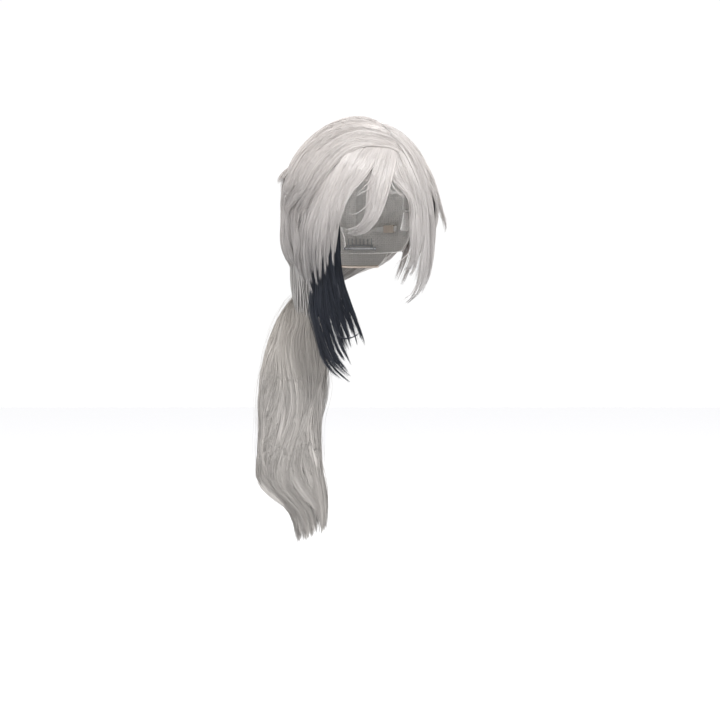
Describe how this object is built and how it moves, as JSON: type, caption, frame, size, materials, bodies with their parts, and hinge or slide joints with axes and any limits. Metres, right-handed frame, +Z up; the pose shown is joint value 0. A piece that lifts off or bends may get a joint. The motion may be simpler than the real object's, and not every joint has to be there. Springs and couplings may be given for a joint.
{
  "type": "costume wig",
  "caption": "Long white costume wig with a swept fringe, a black under-layer and a wavy side ponytail on a claw clip, on a net cap with snap combs and a nape adjuster.",
  "frame": {"origin": "middle of the head opening, level with the ends of the ear tabs", "axes": "+Z up; the wearer faces -Y and their right side is -X"},
  "size_m": [0.2541, 0.2232, 0.568],
  "materials": {
    "white_hair": "glossy synthetic fibre",
    "tail_hair": "glossy synthetic fibre, waved",
    "black_hair": "glossy synthetic fibre",
    "weft_hair": "sewn fibre rows",
    "cap_net": "fine stretch net",
    "binding": "woven tape",
    "skin_mesh": "fine mesh",
    "elastic": "ribbed elastic",
    "steel": "spring steel",
    "clear_rubber": "clear silicone",
    "hook_plastic": "moulded plastic",
    "claw_plastic": "moulded plastic",
    "hair_tie": "covered elastic"
  },
  "bodies": {
    "root": {"cap_crown_net": "cap_net", "cap_back_net": "cap_net", "cap_side_left": "cap_net", "cap_side_right": "cap_net", "cap_nape_panel": "cap_net", "hairline_band": "binding", "skin_patch": "skin_mesh", "binding_front": "binding", "binding_sides": "binding", "binding_nape": "binding", "elastic_strips": "elastic", "weft_rows_top": "weft_hair", "weft_rows_back": "weft_hair", "weft_rows_sides": "weft_hair", "adjust_channels": "binding", "hook_loops": "binding", "front_comb_wire": "steel", "front_comb_sleeve": "clear_rubber", "nape_comb_wire": "steel", "nape_comb_sleeve": "clear_rubber", "hair_crown": "white_hair", "hair_back_left": "white_hair", "hair_back_right": "white_hair", "hair_side_left": "white_hair", "hair_side_right": "white_hair", "fringe_top_left": "white_hair", "fringe_top_right": "white_hair", "fringe_left": "white_hair", "curtain_right": "white_hair", "side_column_right": "white_hair", "side_flicks": "white_hair", "nape_sweep": "white_hair", "gathered_stub": "white_hair", "stub_tie": "hair_tie", "claw_outer_jaw": "claw_plastic", "claw_pin": "steel", "claw_spring": "steel", "tail_weft_pad": "tail_hair", "tail_wrap": "tail_hair"},
    "ear_tab_left": {"ear_tab_left": "cap_net", "ear_stay_left": "steel"},
    "ear_tab_right": {"ear_tab_right": "cap_net", "ear_stay_right": "steel"},
    "strap_left": {"strap_left": "elastic", "hook_left": "hook_plastic"},
    "strap_right": {"strap_right": "elastic", "hook_right": "hook_plastic"},
    "front_comb": {"front_comb_blade": "steel"},
    "nape_comb": {"nape_comb_blade": "steel"},
    "fringe_mid": {"fringe_mid": "white_hair"},
    "curtain_tips": {"curtain_tips": "white_hair"},
    "black_lock": {"black_lock": "black_hair"},
    "left_lock": {"left_lock_outer": "white_hair", "left_lock_inner": "white_hair"},
    "claw_jaw": {"claw_inner_jaw": "claw_plastic"},
    "tail_upper": {"tail_upper": "tail_hair"},
    "tail_lower": {"tail_lower": "tail_hair"},
    "tail_tip": {"tail_tip": "tail_hair"}
  },
  "joints": [
    {"name": "ear_tab_left_bend", "type": "hinge", "parent": "root", "child": "ear_tab_left", "pos_m": [0.06271, -0.05066, 0.02288], "axis": [-0.4897, -0.8719, 0], "range_deg": [-8, 4]},
    {"name": "ear_tab_right_bend", "type": "hinge", "parent": "root", "child": "ear_tab_right", "pos_m": [-0.06271, -0.05066, 0.02288], "axis": [-0.4897, 0.8719, 0], "range_deg": [-8, 4]},
    {"name": "strap_left_slide", "type": "slide", "parent": "root", "child": "strap_left", "axis": [-0.829, 0.5592, 0], "range_m": [-0.006, 0]},
    {"name": "strap_right_slide", "type": "slide", "parent": "root", "child": "strap_right", "axis": [0.829, 0.5592, 0], "range_m": [-0.006, 0]},
    {"name": "front_comb_snap", "type": "hinge", "parent": "root", "child": "front_comb", "pos_m": [0, -0.06456, 0.09296], "axis": [-1, 0, 0], "range_deg": [0, 25]},
    {"name": "nape_comb_snap", "type": "hinge", "parent": "root", "child": "nape_comb", "pos_m": [0, 0.07256, -0.01696], "axis": [1, 0, 0], "range_deg": [0, 25]},
    {"name": "fringe_lift", "type": "hinge", "parent": "root", "child": "fringe_mid", "pos_m": [0.01, -0.087, 0.086], "axis": [-1, 0, 0], "range_deg": [0, 25]},
    {"name": "curtain_tips_sway", "type": "hinge", "parent": "root", "child": "curtain_tips", "pos_m": [-0.046, -0.088, 0.024], "axis": [0, 1, 0], "range_deg": [-8, 8]},
    {"name": "black_lock_sway", "type": "hinge", "parent": "root", "child": "black_lock", "pos_m": [-0.041, -0.057, 0.008], "axis": [0, 1, 0], "range_deg": [-9, 6]},
    {"name": "left_lock_sway", "type": "hinge", "parent": "root", "child": "left_lock", "pos_m": [0.074, -0.054, -0.006], "axis": [0, 1, 0], "range_deg": [-9, 9]},
    {"name": "claw_open", "type": "hinge", "parent": "root", "child": "claw_jaw", "pos_m": [-0.07, 0.036, -0.094], "axis": [0, 0, 1], "range_deg": [0, 35], "stiffness_Nm_per_rad": 0.15, "springref_deg": -17.19},
    {"name": "tail_sway", "type": "hinge", "parent": "root", "child": "tail_upper", "pos_m": [-0.072, 0.012, -0.119], "axis": [0, 1, 0], "range_deg": [-15, 15]},
    {"name": "tail_swing", "type": "hinge", "parent": "tail_upper", "child": "tail_lower", "pos_m": [-0.092, -0.007, -0.236], "axis": [1, 0, 0], "range_deg": [-18, 15]},
    {"name": "tail_tip_curl", "type": "hinge", "parent": "tail_lower", "child": "tail_tip", "pos_m": [-0.084, -0.013, -0.336], "axis": [0, 1, 0], "range_deg": [-12, 12], "stiffness_Nm_per_rad": 0.03}
  ]
}
